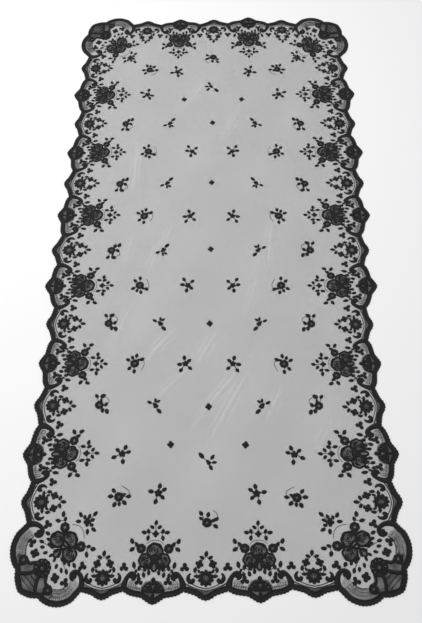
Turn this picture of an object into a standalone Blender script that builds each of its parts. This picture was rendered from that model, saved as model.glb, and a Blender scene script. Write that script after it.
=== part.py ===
"""A lace shawl lying flat: a scalloped net wall, the worked edging on it, and its raised flowers.

The shawl lies on z = 0 with its long side along Y and its middle at the origin. Motifs are drawn
in millimetres on the flat cloth, each in its own axes, and laid() then gives their place in metres.
"""
import math

import bpy
from mathutils import Vector
from mathutils.geometry import delaunay_2d_cdt

MM = 0.001

# Driving dimensions, in millimetres.
HALF_WIDTH = 477.5        # middle to the peaks of the large scallops on the long sides
HALF_LENGTH = 1000.0      # middle to the peaks of the large scallops on the short sides
PITCH_LONG = 126.2        # from a large scallop to the next small one, along the long sides
PITCH_SHORT = 124.7       # the same along the short sides
NET_WALL = 1.0            # thickness of the net
LAYER_GAP = 0.3           # between the net and what is worked on it, and at the edging's seams
EDGING_WALL = 1.2
FLOWER_WALL = 1.2
FLOWER_CROWN = 0.8        # how far the middle of a petal rises above its rim
LEAF_CROWN = 0.9          # how far the middle of a leaf rises out of the net
CREASE_RISE = 2.6         # height of the net's soft creases
CREASE_SPREAD = 13.0      # half their width
SINGLE_SPRIG = 10.0       # a sprig nearer the middle line than this has no twin

# Each side's scallops, by their place along it in pitches: even places are small, odd ones large.
PLACES_LONG = range(-6, 7)
PLACES_SHORT = range(-2, 3)
MOTIF_PITCH = 126.0       # the pitch in which the scallops below are drawn
CORNER_PITCH = 235.0      # from a corner to the first small scallop, as the corner is drawn

# Scallop outlines from the peak to the valley: u along the edge, v in from the large peaks' line.
LARGE_OUTER = ((0, 0), (9, 3), (19, 9), (28, 15), (57, 21))
SMALL_OUTER = ((0, 11), (13, 15), (25, 22))
VALLEY = (52.5, 30)
LARGE_INNER = ((0, 57), (14, 51), (27, 44), (29, 29), (60, 34))
SMALL_INNER = ((0, 31), (30, 36))
VALLEY_INNER = (52.5, 44)
LARGE_SCROLL = ((75, 38), (69, 58), (62, 73), (52, 76), (44, 70), (44, 59), (53, 55), (64, 36))

# The corner's outline from its valley to its diagonal: s and t run in from the corner's two sides.
CORNER_OUTER = (
    (172, 19), (158, 6), (133, -3), (108, -2), (88, 6), (77, 15), (56, 16), (36, 23), (28, 28),
)
CORNER_INNER = ((170, 36), (155, 21), (133, 12), (114, 14))
CORNER_SCROLL = ((179, 38), (181, 60), (173, 71), (161, 74), (151, 66), (152, 55), (162, 50), (170, 34))
CORNER_ORNAMENT = ((113, 34), (104, 48), (92, 50), (91, 62), (101, 76), (95, 95))

# The flowers worked on the net. A bloom is u, v and its radius, and a bud the same; all but the
# upper bloom have a twin on the other side.
BLOOM = (0, 120, 19)
SIDE_BLOOM = (21.5, 100, 15.5)
CUP = ((15, 98), (9, 82), (0, 75), (-9, 82), (-15, 98))
SIDE_BUD = (34, 128, 9.5)
BUD_STEM_END = (12, 123)
ROSETTE = (0, 60, 19, 15.5, 7)      # u, v, radius to the petals' tips and to the notches, petals
BLOOM_CORNERS = 8
SIDE_BLOOM_CORNERS = 7
BUD_ROUND = (-100, -50, 0, 50, 100)  # a bud's corners, in degrees from its tip

# The corner's flowers, in s and t. All but the middle bloom have a twin across the diagonal.
CORNER_MIDDLE_BLOOM = (144, 144, 18.5)
CORNER_SIDE_BLOOM = (145, 112, 17.5)
CORNER_CUP = ((112, 136), (107, 124), (113, 113), (124, 107), (136, 112), (136, 136))
CORNER_BUD = (174, 129, 11)
CORNER_BUD_STEM_END = (154, 134)

# Leaves raised in the net. Columns: u, v, the way the tip points in degrees, length, width.
# A leaf off its motif's middle line has a twin on the other side.
LARGE_LEAVES = (
    (52, 87, 85, 15, 9),
    (35, 78, 80, 13, 8),
    (57, 145, 60, 13, 9),
    (55, 126, -40, 13, 9),
    (0, 190, 90, 15, 9),
    (10, 177, 60, 12, 8),
    (26, 168, 20, 15, 9),
)
SMALL_LEAVES = (
    (36, 61, 40, 19, 13),
    (0, 117, 90, 13, 9),
    (11, 107, 30, 12, 8),
)
CORNER_LEAVES = (
    (206, 123, 10, 15, 9),
    (188, 109, -80, 13, 9),
    (160, 86, -53, 15, 8),
    (141, 71, -76, 14, 8),
    (119, 79, -100, 13, 8),
    (104, 104, -135, 12, 8),
    (205, 205, 45, 16, 9),
    (191, 203, 75, 13, 8),
    (168, 204, 130, 15, 9),
    (166, 187, 175, 13, 8),
)

# Small round flowers raised in the net: u, v, radius, with twins as above.
LARGE_ROUNDS = ((0, 164, 7),)
SMALL_ROUNDS = ((16, 92, 9),)
CORNER_ROUNDS = ((186, 186, 9), (114, 58, 10), (139, 48, 8))
ROUND_CORNERS = 5

# The field's sprigs: the radius of a round flower in the middle, or none, and leaves as above.
SPRIG_KINDS = {
    "rosette": (10.5, (
        (-9, 26, 125, 14, 9),
        (8, 26, 30, 16, 9),
        (20, 0, 60, 14, 8),
        (22, -18, -70, 15, 9),
    )),
    "wreathed": (11, (
        (5, 25, 85, 14, 9),
        (-19, 12, 150, 14, 9),
        (22, 13, 30, 14, 9),
        (-6, -24, 255, 15, 9),
    )),
    "spray": (6.5, (
        (-3, 18, 100, 14, 9),
        (12, 9, 35, 13, 8),
        (-16, -1, 185, 14, 9),
        (2, -20, 275, 14, 9),
    )),
    "branch": (0, (
        (-16, 9, 152, 15, 8),
        (3, 16, 75, 14, 10),
        (0, 0, 135, 14, 10),
        (13, -18, -48, 17, 8),
    )),
    "dot": (7, ()),
}
# Columns: kind, distance from the middle line, y, and which way up (1 or -1) to the left and right.
SPRIGS = (
    ("wreathed", 0, -808, 1, 1), ("wreathed", 222, -745, 1, 1), ("spray", 123, -735, 1, 1),
    ("branch", 0, -655, 1, 1), ("spray", 221, -633, 1, 1), ("dot", 97, -608, 1, 1),
    ("rosette", 292, -500, 1, 1), ("branch", 143, -500, 1, 1), ("dot", 0, -503, 1, 1),
    ("wreathed", 205, -377, 1, 1), ("spray", 65, -377, 1, 1),
    ("rosette", 287, -252, 1, 1), ("branch", 141, -252, 1, 1), ("dot", 0, -252, 1, 1),
    ("wreathed", 205, -126, -1, -1), ("spray", 65, -126, -1, -1),
    ("rosette", 295, -3, -1, 1), ("branch", 143, -3, -1, 1), ("dot", 0, 0, 1, 1),
    ("wreathed", 206, 122, 1, 1), ("spray", 65, 122, 1, 1),
    ("rosette", 290, 248, -1, -1), ("branch", 141, 250, -1, -1), ("dot", 0, 252, 1, 1),
    ("wreathed", 207, 380, -1, -1), ("spray", 65, 380, -1, -1),
    ("rosette", 290, 501, -1, -1), ("branch", 142, 501, -1, -1), ("dot", 0, 503, 1, 1),
    ("dot", 97, 608, 1, 1), ("spray", 222, 631, -1, -1), ("branch", 5, 668, -1, -1),
    ("spray", 124, 738, -1, -1), ("wreathed", 222, 748, -1, -1), ("wreathed", 0, 808, -1, -1),
)

# Soft creases in the field, each as the points of its ridge.
CREASES = (
    ((-152, -354), (-92, -268), (-15, -191), (35, -168)),
    ((-27, -366), (24, -284), (76, -190), (108, -92)),
    ((-72, -560), (-45, -500), (-20, -455), (10, -400)),
    ((28, -610), (50, -480), (100, -400), (118, -350)),
    ((182, -560), (190, -500), (215, -435)),
    ((-246, -460), (-150, -452), (-95, -420)),
    ((-27, 732), (-62, 625), (-140, 548)),
    ((-246, 440), (-245, 330), (-246, 190)),
)

# How the cloth lies: how far its edges have moved from their straight places.
LAY_SIDES = (  # y, left edge to +X and +Y, right edge to +X and +Y
    (-1000, 3, -2, 9, 7), (-870, 1, -3, 8, 7), (-757, -2, -4, 13, 4), (-631, -3, -7, 6, 1),
    (-505, -2, 3, -4, 5), (-379, 6, 1, -14, 3), (-252, 1, -2, -13, -2), (-126, -6, -4, -1, -2),
    (0, -12, -5, -2, -4), (126, 2, -2, 1, -2), (252, -2, -5, 4, -5), (379, 6, -6, 1, -5),
    (505, 6, -7, -2, -9), (631, 3, -3, -5, -2), (757, 4, -1, -7, -5), (870, 7, 3, -11, -4),
    (1000, 8, 4, -10, -2),
)
LAY_ENDS = (  # x, near edge to +X and +Y, far edge to +X and +Y
    (-480, 3, -2, 8, 4), (-350, 3, -2, 8, 6), (-249, -1, 0, 7, 4), (-125, -5, 2, 0, 1),
    (-60, -6, 1, -3, 5), (0, -5, 1, -5, 10), (125, -1, 8, -4, 10), (249, 2, 10, -10, 7),
    (350, 8, 7, -10, 3), (480, 9, 7, -10, -2),
)
LAY_MIDDLE = (-4, -1)     # the same for the field, away from the edges
LAY_REACH = 150.0         # how far in from an edge the field follows it

# Limits of the outlines' drawing, in millimetres.
MERGE_DISTANCE = 0.02     # points nearer than this become one
SHORTEST_EDGE = 0.6       # boundary edges shorter than this are closed up
LEAST_BEND = 0.02         # a point nearer than this to its neighbours' line is left out

# Materials: colour, roughness.
NET_LOOK = ((0.030, 0.027, 0.030), 0.75)
EDGING_LOOK = ((0.012, 0.011, 0.013), 0.60)
FLOWER_LOOK = ((0.016, 0.015, 0.018), 0.50)


# ---- where things lie on the cloth -------------------------------------------------------------

class Frame:
    """A motif's axes on the flat cloth: u along the edge and v inward, in millimetres."""

    def __init__(self, origin, along, inward):
        self.origin = Vector(origin)
        self.along = Vector(along)
        self.inward = Vector(inward)

    def place(self, points):
        """The flat cloth's points for points given in the motif's axes."""
        return [self.origin + u * self.along + v * self.inward for u, v in points]


class Side:
    """One side of the shawl, walked anticlockwise: its scallops' frames and its end corners."""

    def __init__(self, name, middle, along, inward, pitch, places):
        stretch = pitch / MOTIF_PITCH
        self.name = name
        self.scallops = []
        for place in places:
            origin = Vector(middle) + place * pitch * Vector(along)
            frame = Frame(origin, stretch * Vector(along), inward)
            self.scallops.append((place % 2 == 1, frame))


def sides():
    """The four sides, anticlockwise from the near one."""
    return (
        Side("near", (0, -HALF_LENGTH), (1, 0), (0, 1), PITCH_SHORT, PLACES_SHORT),
        Side("right", (HALF_WIDTH, 0), (0, 1), (-1, 0), PITCH_LONG, PLACES_LONG),
        Side("far", (0, HALF_LENGTH), (-1, 0), (0, -1), PITCH_SHORT, PLACES_SHORT),
        Side("left", (-HALF_WIDTH, 0), (0, -1), (1, 0), PITCH_LONG, PLACES_LONG),
    )


def corner_frames():
    """The corner that ends each side, anticlockwise: its name, frame, and whether s is walked first."""
    s_scale = (HALF_WIDTH - 2 * PITCH_SHORT) / CORNER_PITCH
    t_scale = (HALF_LENGTH - 6 * PITCH_LONG) / CORNER_PITCH
    corners = []
    for name, x_sign, y_sign, s_first in (
            ("near_right", 1, -1, True), ("far_right", 1, 1, False),
            ("far_left", -1, 1, True), ("near_left", -1, -1, False)):
        origin = (x_sign * HALF_WIDTH, y_sign * HALF_LENGTH)
        frame = Frame(origin, (-x_sign * s_scale, 0), (0, -y_sign * t_scale))
        corners.append((name, frame, s_first))
    return corners


def eased(table, column, place):
    """A lay table's column at a place, eased from one row to the next."""
    if place <= table[0][0]:
        return table[0][column]
    for row, following in zip(table, table[1:]):
        if place <= following[0]:
            share = (place - row[0]) / (following[0] - row[0])
            weight = 0.5 - 0.5 * math.cos(math.pi * share)
            return row[column] + weight * (following[column] - row[column])
    return table[-1][column]


def lay_shift(x, y):
    """How far the cloth at x, y lies from its straight place."""
    edges = (
        (HALF_WIDTH + x, LAY_SIDES, 1, y), (HALF_WIDTH - x, LAY_SIDES, 3, y),
        (HALF_LENGTH + y, LAY_ENDS, 1, x), (HALF_LENGTH - y, LAY_ENDS, 3, x),
    )
    shift = Vector((0, 0))
    total = 0.0
    middle_share = 1.0
    for distance, table, column, place in edges:
        share = math.exp(-(distance / LAY_REACH) ** 2)
        shift += share * Vector((eased(table, column, place), eased(table, column + 1, place)))
        total += share
        middle_share *= 1 - share
    return (shift + middle_share * Vector(LAY_MIDDLE)) / (total + middle_share)


# ---- outlines and shapes, in a motif's own axes ------------------------------------------------

def mirrored(points):
    """The points with u turned round, in reverse order so that the outline keeps its sense."""
    return [(-u, v) for u, v in reversed(points)]


def swapped(points):
    """The points with their two axes exchanged, in reverse order."""
    return [(t, s) for s, t in reversed(points)]


def around(u, v, angle, reach):
    """The point at a reach from u, v, in the direction of an angle in degrees."""
    return u + reach * math.cos(math.radians(angle)), v + reach * math.sin(math.radians(angle))


def petalled(u, v, radius, notch, petals):
    """A flower's outline: the tips of its petals, and the notches between them."""
    points = []
    for petal in range(petals):
        points.append(around(u, v, 360 * (petal + 0.25) / petals, radius))
        points.append(around(u, v, 360 * (petal + 0.75) / petals, notch))
    return points


def disc(u, v, radius, corners):
    """A regular outline with so many corners, its first flat side facing +u."""
    return [around(u, v, 360 * (corner + 0.5) / corners, radius) for corner in range(corners)]


def leaf(u, v, angle, length, width):
    """A pointed leaf's outline round its middle."""
    tip = Vector((math.cos(math.radians(angle)), math.sin(math.radians(angle))))
    side = Vector((-tip.y, tip.x))
    middle = Vector((u, v))
    corners = (middle + tip * length / 2, middle + side * width / 2,
               middle - tip * length / 2, middle - side * width / 2)
    return [tuple(corner) for corner in corners]


def scallop_path(large, outer):
    """A scallop's outer or inner line from its first valley to its last, without the last."""
    valley = VALLEY if outer else VALLEY_INNER
    if large:
        valley = (MOTIF_PITCH - valley[0], valley[1])
        half = LARGE_OUTER if outer else LARGE_INNER
    else:
        half = SMALL_OUTER if outer else SMALL_INNER
    rising = [(-u, v) for u, v in reversed(half)]
    return [(-valley[0], valley[1])] + rising + list(half[1:])


def side_path(side, outer):
    """A whole side's outer or inner line, from its first valley to its last."""
    points = []
    for large, frame in side.scallops:
        points += frame.place(scallop_path(large, outer))
    last = side.scallops[-1][1]
    points += last.place([VALLEY if outer else VALLEY_INNER])
    return points


def corner_path(half, s_first):
    """A corner's line from the side that is walked first to the other one."""
    whole = list(half) + swapped(half[:-1])
    return whole if s_first else whole[::-1]


# ---- solids from overlapping outlines ----------------------------------------------------------

def signed_area(points):
    """Twice the area inside an outline, positive where it runs anticlockwise."""
    return sum(a[0] * b[1] - b[0] * a[1] for a, b in zip(points, points[1:] + points[:1]))


def triangulated(outlines, edges=(), points=()):
    """Triangles of the outlines' union, which keep the given edges and points as corners.

    Returns the corners, the triangles, and the union's boundary as directed edges.
    """
    corners = []
    faces = []
    for outline in outlines:
        outline = [Vector(point) for point in outline]
        if signed_area(outline) < 0:
            outline.reverse()
        faces.append(list(range(len(corners), len(corners) + len(outline))))
        corners += outline
    lines = []
    for start, end in edges:
        lines.append((len(corners), len(corners) + 1))
        corners += [Vector(start), Vector(end)]
    corners += [Vector(point) for point in points]
    result = delaunay_2d_cdt(corners, lines, faces, 0, MERGE_DISTANCE)
    flat, triangles, sources = result[0], result[2], result[5]
    kept = [list(triangle) for triangle, source in zip(triangles, sources) if source]
    directed = {(a, b) for triangle in kept for a, b in zip(triangle, triangle[1:] + triangle[:1])}
    boundary = [(a, b) for a, b in directed if (b, a) not in directed]
    return flat, kept, boundary


def union_loops(outlines):
    """The boundary loops of the outlines' union, without needless or crowded points."""
    flat, _, boundary = triangulated(outlines)
    following = {a: b for a, b in boundary}
    loops = []
    while following:
        start, current = following.popitem()
        loop = [start]
        while current != start:
            loop.append(current)
            current = following.pop(current)
        loops.append([flat[index] for index in loop])
    return [thinned(loop) for loop in loops]


def thinned(loop):
    """A loop without points that lie on a straight run or crowd their neighbour."""
    spaced = [point for index, point in enumerate(loop)
              if (point - loop[index - 1]).length > SHORTEST_EDGE]
    kept = []
    for index, point in enumerate(spaced):
        before = spaced[index - 1]
        after = spaced[(index + 1) % len(spaced)]
        bend = abs((point - before).cross(after - before)) / (after - before).length
        if bend > LEAST_BEND:
            kept.append(point)
    return kept


def key(point):
    """A point's name in the height tables."""
    return round(point[0], 2), round(point[1], 2)


def wall(name, outlines, base, thickness, look, crowns=(), relief=(), creases=()):
    """A closed wall over the outlines' union, with the cloth's lay applied to its corners.

    base is the underside's height. Crowns are (point, rise) pairs inside the outlines. Relief holds
    (outline, middle) pairs: outlines drawn in the top only, each with its middle raised. Creases
    lift both faces.
    """
    lift = {}
    lines = []
    for ridge in creases:
        crease_lines, crease_lift = crease_fold(ridge)
        lines += crease_lines
        lift.update(crease_lift)
    under, under_faces, rim = triangulated(outlines, lines)
    crowns = list(crowns)
    top_lines = list(lines)
    for outline, middle in relief:
        top_lines += list(zip(outline, outline[1:] + outline[:1]))
        crowns.append((middle, LEAF_CROWN))
    rise = {key(point): height for point, height in crowns}
    over, over_faces, over_rim = triangulated(outlines, top_lines, [point for point, _ in crowns])

    corners = []
    for point in under:
        corners.append((point, base + lift.get(key(point), 0)))
    for point in over:
        height = lift.get(key(point), 0) + rise.get(key(point), 0)
        corners.append((point, base + thickness + height))
    faces = [triangle[::-1] for triangle in under_faces]
    faces += [[index + len(under) for index in triangle] for triangle in over_faces]
    over_index = {key(over[a]): a + len(under) for a, _ in over_rim}
    for a, b in rim:
        faces.append([a, b, over_index[key(under[b])], over_index[key(under[a])]])

    used = sorted({index for face in faces for index in face})
    renumbered = {index: place for place, index in enumerate(used)}
    vertices = [laid(*corners[index]) for index in used]
    mesh = bpy.data.meshes.new(name)
    mesh.from_pydata(vertices, [], [[renumbered[index] for index in face] for face in faces])
    mesh.validate()
    mesh.materials.append(look)
    solid = bpy.data.objects.new(name, mesh)
    bpy.context.scene.collection.objects.link(solid)
    return solid


def crease_fold(ridge):
    """A crease's lines on the cloth, and the heights of its ridge's inner points."""
    ridge = [Vector(point) for point in ridge]
    left = [ridge[0]]
    right = [ridge[0]]
    lift = {}
    for before, point, after in zip(ridge, ridge[1:], ridge[2:]):
        run = (after - before).normalized()
        across = Vector((-run.y, run.x)) * CREASE_SPREAD
        left.append(point + across)
        right.append(point - across)
        lift[key(point)] = CREASE_RISE
    left.append(ridge[-1])
    right.append(ridge[-1])
    lines = []
    for run in (ridge, left, right):
        lines += list(zip(run, run[1:]))
    return lines, lift


def laid(point, height):
    """The place in metres, on the cloth as it lies, of a flat point and a height in millimetres."""
    shifted = Vector(point) + lay_shift(point[0], point[1]) - BOX_MIDDLE
    return shifted.x * MM, shifted.y * MM, height * MM


def box_middle():
    """The middle of the laid outline's box, which is brought to the origin."""
    points = [point + lay_shift(point.x, point.y) for point in shawl_outline()]
    across = [point.x for point in points]
    upward = [point.y for point in points]
    return Vector((min(across) + max(across), min(upward) + max(upward))) / 2


# ---- the pieces ---------------------------------------------------------------------------------

def shawl_outline():
    """The shawl's whole scalloped outline on the flat cloth, anticlockwise."""
    points = []
    for side, (_, frame, s_first) in zip(sides(), corner_frames()):
        points += side_path(side, outer=True)
        points += frame.place(corner_path(CORNER_OUTER, s_first))
    return points


def placed_relief(frame, leaves, rounds, twin):
    """A motif's leaves and round flowers as relief on the cloth, with the twins of each pair."""
    shapes = [(leaf(*row), row[:2]) for row in leaves]
    shapes += [(disc(*row, ROUND_CORNERS), row[:2]) for row in rounds]
    single = [middle for _, middle in shapes]
    for outline, middle in list(shapes):
        other = twin([middle])[0]
        if other not in single:
            shapes.append((twin(outline), other))
    return [(frame.place(outline), frame.place([middle])[0]) for outline, middle in shapes]


def sprig_relief():
    """The field's sprigs: each row of the table on the left, and its mirror image on the right."""
    relief = []
    for kind, x, y, up_left, up_right in SPRIGS:
        radius, leaves = SPRIG_KINDS[kind]
        rounds = [(0, 0, radius)] if radius else []
        relief += placed_relief(Frame((-x, y), (1, 0), (0, up_left)), leaves, rounds, list)
        if x > SINGLE_SPRIG:
            relief += placed_relief(Frame((x, y), (-1, 0), (0, up_right)), leaves, rounds, list)
    return relief


def net_ground(look):
    """The net wall, with the leaves and sprigs raised in its top and its creases lifted."""
    relief = sprig_relief()
    for side in sides():
        for large, frame in side.scallops:
            leaves = LARGE_LEAVES if large else SMALL_LEAVES
            rounds = LARGE_ROUNDS if large else SMALL_ROUNDS
            relief += placed_relief(frame, leaves, rounds, mirrored)
    for _, frame, _ in corner_frames():
        relief += placed_relief(frame, CORNER_LEAVES, CORNER_ROUNDS, swapped)
    return wall("net_ground", [shawl_outline()], 0, NET_WALL, look, relief=relief, creases=CREASES)


def edging_ends(path):
    """A band's line with both ends drawn back by half a seam's gap."""
    first = (path[1] - path[0]).normalized() * LAYER_GAP / 2
    last = (path[-2] - path[-1]).normalized() * LAYER_GAP / 2
    return [path[0] + first] + path[1:-1] + [path[-1] + last]


def worked(name, outlines, thickness, look, crowns=()):
    """A piece that lies on the net, just clear of it."""
    loops = union_loops(outlines)
    return wall(name, loops, NET_WALL + LAYER_GAP, thickness, look, crowns=crowns)


def side_edging(side, look):
    """One side's edging: the thick outer band, with the large scallops' fans and scrolls."""
    outer = edging_ends(side_path(side, outer=True))
    inner = edging_ends(side_path(side, outer=False))
    outlines = [outer + inner[::-1]]
    for large, frame in side.scallops:
        if large:
            outlines.append(frame.place(LARGE_SCROLL))
            outlines.append(frame.place(mirrored(LARGE_SCROLL)))
    return worked(f"edging_{side.name}", outlines, EDGING_WALL, look)


def corner_edging(name, frame, s_first, ends, look):
    """A corner's edging: the band round its two lobes, its scrolls and its shell ornament."""
    outer_ends, inner_ends = ends
    inner_half = CORNER_INNER + CORNER_ORNAMENT
    outer = [outer_ends[0]] + frame.place(corner_path(CORNER_OUTER, s_first)) + [outer_ends[1]]
    inner = [inner_ends[0]] + frame.place(corner_path(inner_half, s_first)) + [inner_ends[1]]
    band = edging_ends(outer) + edging_ends(inner)[::-1]
    scrolls = [frame.place(CORNER_SCROLL), frame.place(swapped(CORNER_SCROLL))]
    return worked(f"edging_{name}", [band] + scrolls, EDGING_WALL, look)


def bud(u, v, radius, stem_end):
    """A small round bud drawn out to the end of its stem."""
    away = math.degrees(math.atan2(v - stem_end[1], u - stem_end[0]))
    return [around(u, v, away + turn, radius) for turn in BUD_ROUND] + [stem_end]


def bouquet(name, frame, look):
    """A large scallop's flowers: one bloom, two side blooms, their cup and two buds."""
    side_bloom = disc(*SIDE_BLOOM, SIDE_BLOOM_CORNERS)
    side_bud = bud(*SIDE_BUD, BUD_STEM_END)
    shapes = [disc(*BLOOM, BLOOM_CORNERS), list(CUP)]
    shapes += [side_bloom, side_bud, mirrored(side_bloom), mirrored(side_bud)]
    middles = [BLOOM[:2], SIDE_BLOOM[:2], SIDE_BUD[:2]]
    middles += [(-u, v) for u, v in middles[1:]]
    crowns = [(frame.place([middle])[0], FLOWER_CROWN) for middle in middles]
    return worked(name, [frame.place(shape) for shape in shapes], FLOWER_WALL, look, crowns)


def rosette(name, frame, look):
    """A small scallop's single open flower."""
    outline = frame.place(petalled(*ROSETTE))
    crowns = [(frame.place([ROSETTE[:2]])[0], FLOWER_CROWN)]
    return worked(name, [outline], FLOWER_WALL, look, crowns)


def corner_bouquet(name, frame, look):
    """A corner's flowers: three large blooms, their cup and two buds."""
    side_bloom = disc(*CORNER_SIDE_BLOOM, BLOOM_CORNERS)
    side_bud = bud(*CORNER_BUD, CORNER_BUD_STEM_END)
    shapes = [disc(*CORNER_MIDDLE_BLOOM, BLOOM_CORNERS), list(CORNER_CUP)]
    shapes += [side_bloom, side_bud, swapped(side_bloom), swapped(side_bud)]
    middles = [CORNER_MIDDLE_BLOOM[:2], CORNER_SIDE_BLOOM[:2], CORNER_BUD[:2]]
    middles += [(t, s) for s, t in middles[1:]]
    crowns = [(frame.place([middle])[0], FLOWER_CROWN) for middle in middles]
    return worked(name, [frame.place(shape) for shape in shapes], FLOWER_WALL, look, crowns)


def thread(name, colour, roughness):
    """A plain thread material."""
    look = bpy.data.materials.new(name)
    look.use_nodes = True
    shader = look.node_tree.nodes["Principled BSDF"]
    shader.inputs["Base Color"].default_value = (*colour, 1)
    shader.inputs["Roughness"].default_value = roughness
    shader.inputs["Metallic"].default_value = 0
    return look


def valley_ends(side_before, side_after):
    """The outer and inner valley points between which a corner's edging runs."""
    outer = side_path(side_before, True)[-1], side_path(side_after, True)[0]
    inner = side_path(side_before, False)[-1], side_path(side_after, False)[0]
    return outer, inner


def build():
    """The whole shawl."""
    net = thread("net_thread", *NET_LOOK)
    edging = thread("edging_thread", *EDGING_LOOK)
    flower = thread("flower_thread", *FLOWER_LOOK)
    net_ground(net)
    walked = sides()
    for side in walked:
        side_edging(side, edging)
        counts = {True: 0, False: 0}
        for large, frame in side.scallops:
            counts[large] += 1
            if large:
                bouquet(f"bouquet_{side.name}_{counts[large]}", frame, flower)
            else:
                rosette(f"rosette_{side.name}_{counts[large]}", frame, flower)
    for index, (name, frame, s_first) in enumerate(corner_frames()):
        ends = valley_ends(walked[index], walked[(index + 1) % len(walked)])
        corner_edging(name, frame, s_first, ends, edging)
        corner_bouquet(f"bouquet_{name}", frame, flower)


for old in list(bpy.data.objects):
    bpy.data.objects.remove(old)
BOX_MIDDLE = box_middle()
build()
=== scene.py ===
"""The look of a black lace shawl lying flat: its net, its worked edging and its embroidery.

Motifs are drawn in millimetres in their own axes, u along the edge and v (or s and t in a corner)
inward, then set on the flat cloth, shifted to where the cloth lies, and turned into metres.
"""
import math

import bpy
import numpy as np
from mathutils import Matrix, Vector
from mathutils.geometry import delaunay_2d_cdt


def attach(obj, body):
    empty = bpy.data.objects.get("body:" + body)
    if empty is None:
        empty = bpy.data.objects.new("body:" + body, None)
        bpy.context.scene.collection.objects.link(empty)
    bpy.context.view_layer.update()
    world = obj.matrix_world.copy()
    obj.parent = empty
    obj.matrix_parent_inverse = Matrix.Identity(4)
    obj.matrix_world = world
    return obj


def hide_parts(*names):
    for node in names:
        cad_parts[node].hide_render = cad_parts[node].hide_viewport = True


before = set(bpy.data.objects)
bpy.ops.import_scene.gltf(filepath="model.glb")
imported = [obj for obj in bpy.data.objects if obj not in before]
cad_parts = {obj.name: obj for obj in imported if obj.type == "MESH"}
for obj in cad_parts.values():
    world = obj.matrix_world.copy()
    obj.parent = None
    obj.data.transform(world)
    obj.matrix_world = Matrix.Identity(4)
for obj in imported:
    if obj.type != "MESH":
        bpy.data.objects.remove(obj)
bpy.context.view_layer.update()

MM = 0.001
STITCH_MAP = "stitch"  # every piece's stitch coordinates, in millimetres
CREASE_LIFT = "crease_lift"  # how far up the highest crease each corner is lifted, 0 to 1; it also drives the net's painted highlight along the creases

# ---- the shawl's sizes, in millimetres, as in its solids ----

HALF_WIDTH = 477.5  # from the middle to the line of the large peaks
HALF_LENGTH = 1000.0
PITCH_LONG = 126.2  # from scallop to scallop
PITCH_SHORT = 124.7
PLACES_LONG = range(-6, 7)
PLACES_SHORT = range(-2, 3)
MOTIF_PITCH = 126.0  # the pitch at which the motifs are drawn
CORNER_PITCH = 235.0  # the same from a corner to its nearest small scallop's middle

LARGE_OUTER = [(0, 0), (9, 3), (19, 9), (28, 15), (57, 21)]
LARGE_NOTCH = 3  # the place in LARGE_OUTER where the knob meets the shoulder
SMALL_OUTER = [(0, 11), (13, 15), (25, 22)]
VALLEY = (52.5, 30)
CORNER_OUTER = [
    (172, 19), (158, 6), (133, -3), (108, -2), (88, 6), (77, 15), (56, 16), (36, 23), (28, 28),
]
CORNER_NOTCH = 5  # the place in CORNER_OUTER where the lobe meets the corner

LAY_SIDES = (  # y, left edge to +X and +Y, right edge to +X and +Y
    (-1000, 3, -2, 9, 7), (-870, 1, -3, 8, 7), (-757, -2, -4, 13, 4), (-631, -3, -7, 6, 1),
    (-505, -2, 3, -4, 5), (-379, 6, 1, -14, 3), (-252, 1, -2, -13, -2), (-126, -6, -4, -1, -2),
    (0, -12, -5, -2, -4), (126, 2, -2, 1, -2), (252, -2, -5, 4, -5), (379, 6, -6, 1, -5),
    (505, 6, -7, -2, -9), (631, 3, -3, -5, -2), (757, 4, -1, -7, -5), (870, 7, 3, -11, -4),
    (1000, 8, 4, -10, -2),
)
LAY_ENDS = (  # x, near edge to +X and +Y, far edge to +X and +Y
    (-480, 3, -2, 8, 4), (-350, 3, -2, 8, 6), (-249, -1, 0, 7, 4), (-125, -5, 2, 0, 1),
    (-60, -6, 1, -3, 5), (0, -5, 1, -5, 10), (125, -1, 8, -4, 10), (249, 2, 10, -10, 7),
    (350, 8, 7, -10, 3), (480, 9, 7, -10, -2),
)
LAY_MIDDLE = (-4, -1)  # the same for the field, away from the edges
LAY_REACH = 150.0  # how far in from an edge the field follows it

# Creases: the ridge's height, the distance in which it falls to a third, and its points.
CREASES = (
    (2.6, 3.4, (-64, -596), (26, -463), (129, -336)),
    (2.6, 3.4, (-12, -626), (60, -484), (121, -374)),
    (2.4, 3.4, (-180, -375), (-135, -313), (-88, -258)),
    (2.4, 3.4, (-43, -394), (-10, -330), (28, -257)),
    (2.2, 3.4, (147, -547), (180, -480), (208, -418)),
    (2.2, 3.4, (274, -628), (300, -585), (326, -537)),
    (2.0, 3.4, (-160, -500), (-110, -444), (-54, -389)),
    (1.8, 3.6, (-286, -345), (-250, -255), (-220, -177)),
    (1.8, 3.6, (-259, -66), (-246, -4), (-234, 60)),
    (1.9, 3.6, (-184, -92), (-168, -30), (-150, 36)),
    (1.8, 3.6, (-147, -22), (-133, 42), (-118, 106)),
    (1.8, 3.6, (90, -250), (120, -160), (140, -80)),
    (1.7, 4.0, (170, -74), (176, 36), (189, 144)),
    (1.8, 4.0, (-246, 440), (-245, 330), (-246, 190)),
    (1.9, 4.0, (-140, 548), (-62, 625), (-27, 732)),
    (1.6, 4.0, (20, 420), (70, 520), (90, 590)),
)
# A crease and the finer ones beside it: how far off, how much of its length and height.
CREASE_TWINS = ((0, 1.0, 1.0), (13, 0.7, 0.75), (-17, 0.55, 0.6))
CREASE_STEP = 4.0  # between the net's corners along a crease
CREASE_TOP = 2.6  # the highest ridge
CREASE_HIGHLIGHT = 0.34  # how much thinner the net's threads are on it, a painted highlight along its crest
CREASE_BLUNT = 0.7  # how bluntly it starts and ends
CREASE_BOUND = 3  # how many spreads off it lifts nothing
CREASE_FLANKS = (-2.0, -1.0, -0.5, 0.0, 0.5, 1.0, 2.0)  # rows of corners across it, in its spreads

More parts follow.
